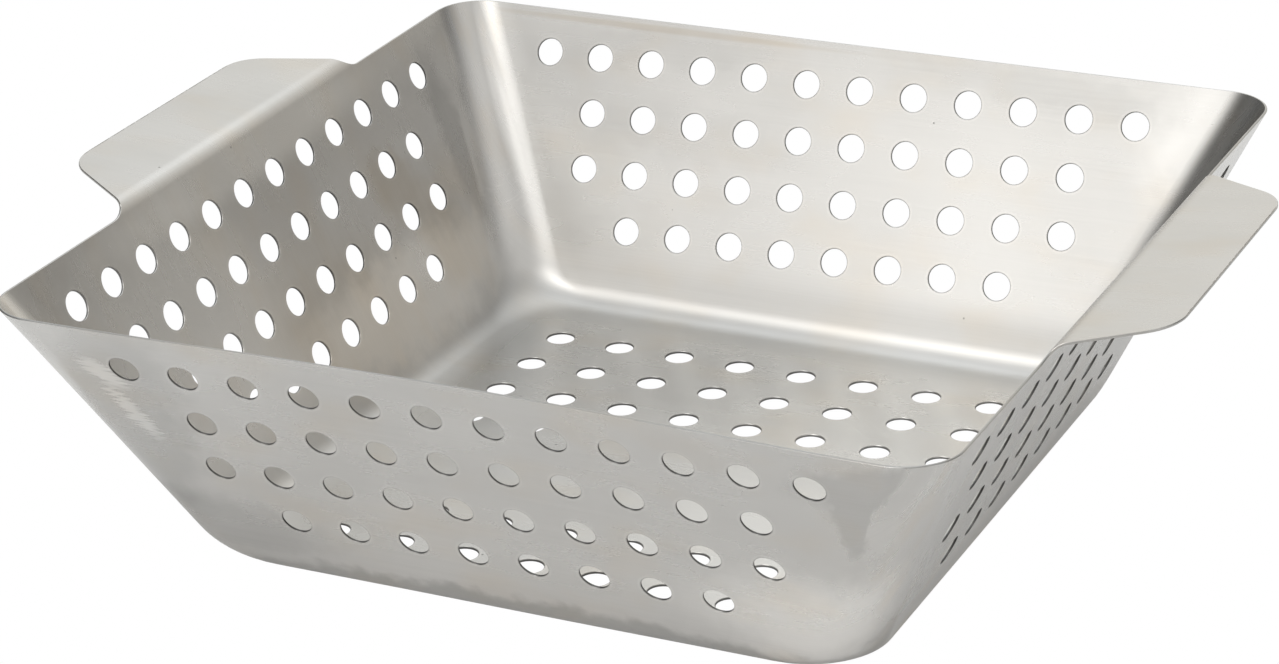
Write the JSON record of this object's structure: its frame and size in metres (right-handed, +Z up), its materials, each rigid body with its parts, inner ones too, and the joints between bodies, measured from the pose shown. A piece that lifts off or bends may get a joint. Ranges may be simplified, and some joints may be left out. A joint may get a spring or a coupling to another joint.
{
  "type": "grill basket",
  "caption": "Open square grilling tray pressed from thin stainless sheet, with sloping perforated walls, a perforated floor and tab handles on opposite rims.",
  "frame": {"origin": "under the centre of the flat floor, on the surface that the basket stands on", "axes": "+Z up out of the open top, X through the two handles, front wall at -Y"},
  "size_m": [0.3676, 0.305, 0.1002],
  "materials": {
    "stainless_sheet": "satin stainless sheet with a fine straight brushed grain, faint water marks and light scratches"
  },
  "bodies": {
    "root": {"floor": "stainless_sheet", "front_wall": "stainless_sheet", "front_foot_bend": "stainless_sheet", "right_wall": "stainless_sheet", "right_foot_bend": "stainless_sheet", "back_wall": "stainless_sheet", "back_foot_bend": "stainless_sheet", "left_wall": "stainless_sheet", "left_foot_bend": "stainless_sheet", "front_right_corner": "stainless_sheet", "back_right_corner": "stainless_sheet", "back_left_corner": "stainless_sheet", "front_left_corner": "stainless_sheet", "right_handle": "stainless_sheet", "left_handle": "stainless_sheet"}
  },
  "joints": []
}
